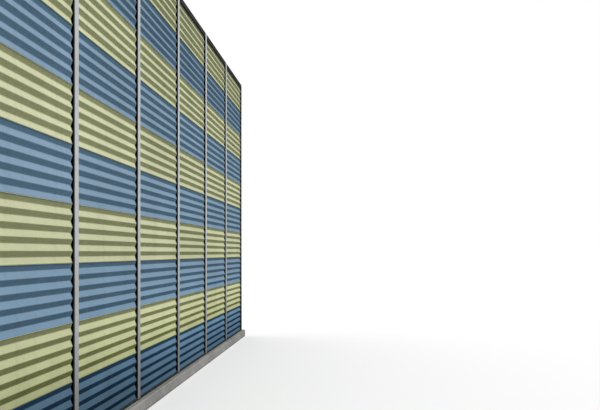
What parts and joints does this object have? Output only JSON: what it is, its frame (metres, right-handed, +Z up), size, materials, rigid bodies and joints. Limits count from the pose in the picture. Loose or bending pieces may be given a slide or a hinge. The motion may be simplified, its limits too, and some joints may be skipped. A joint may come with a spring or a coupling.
{
  "type": "highway noise barrier",
  "caption": "Straight run of a roadside sound wall: louvred metal panels stacked in bays between H-section posts, with folded caps and tracks, on a low concrete plinth.",
  "frame": {"origin": "middle of the plinth's underside, which is also the foot of the middle post", "axes": "+X along the wall, -Y towards the road (the louvred side), +Z up"},
  "size_m": [12.22, 0.27, 5.1947],
  "materials": {
    "concrete": "cast concrete, light grey",
    "post_paint": "pale grey paint on galvanised steel, satin",
    "louvre_yellow": "pale yellow powder coat, satin",
    "louvre_blue": "mid blue powder coat, satin",
    "pan_steel": "galvanised sheet, matt",
    "absorber": "mineral wool slab behind a black fleece",
    "black_rubber": "matt black",
    "channel_paint": "dark grey paint, satin"
  },
  "bodies": {
    "root": {"plinth": "concrete", "post_1": "post_paint", "post_2": "post_paint", "post_3": "post_paint", "post_4": "post_paint", "post_5": "post_paint", "post_6": "post_paint", "post_7": "post_paint", "louvre_row_01": "louvre_blue", "back_pan_row_01": "pan_steel", "louvre_row_02": "louvre_yellow", "back_pan_row_02": "pan_steel", "louvre_row_03": "louvre_blue", "back_pan_row_03": "pan_steel", "louvre_row_04": "louvre_yellow", "back_pan_row_04": "pan_steel", "louvre_row_05": "louvre_blue", "back_pan_row_05": "pan_steel", "louvre_row_06": "louvre_yellow", "back_pan_row_06": "pan_steel", "louvre_row_07": "louvre_blue", "back_pan_row_07": "pan_steel", "louvre_row_08": "louvre_yellow", "back_pan_row_08": "pan_steel", "louvre_row_09": "louvre_blue", "back_pan_row_09": "pan_steel", "louvre_row_10": "louvre_yellow", "back_pan_row_10": "pan_steel", "absorber_slabs": "absorber", "bottom_seals": "black_rubber", "top_packers": "black_rubber", "front_gaskets": "black_rubber", "rear_gaskets": "black_rubber", "top_caps": "channel_paint", "bottom_tracks": "channel_paint"}
  },
  "joints": []
}
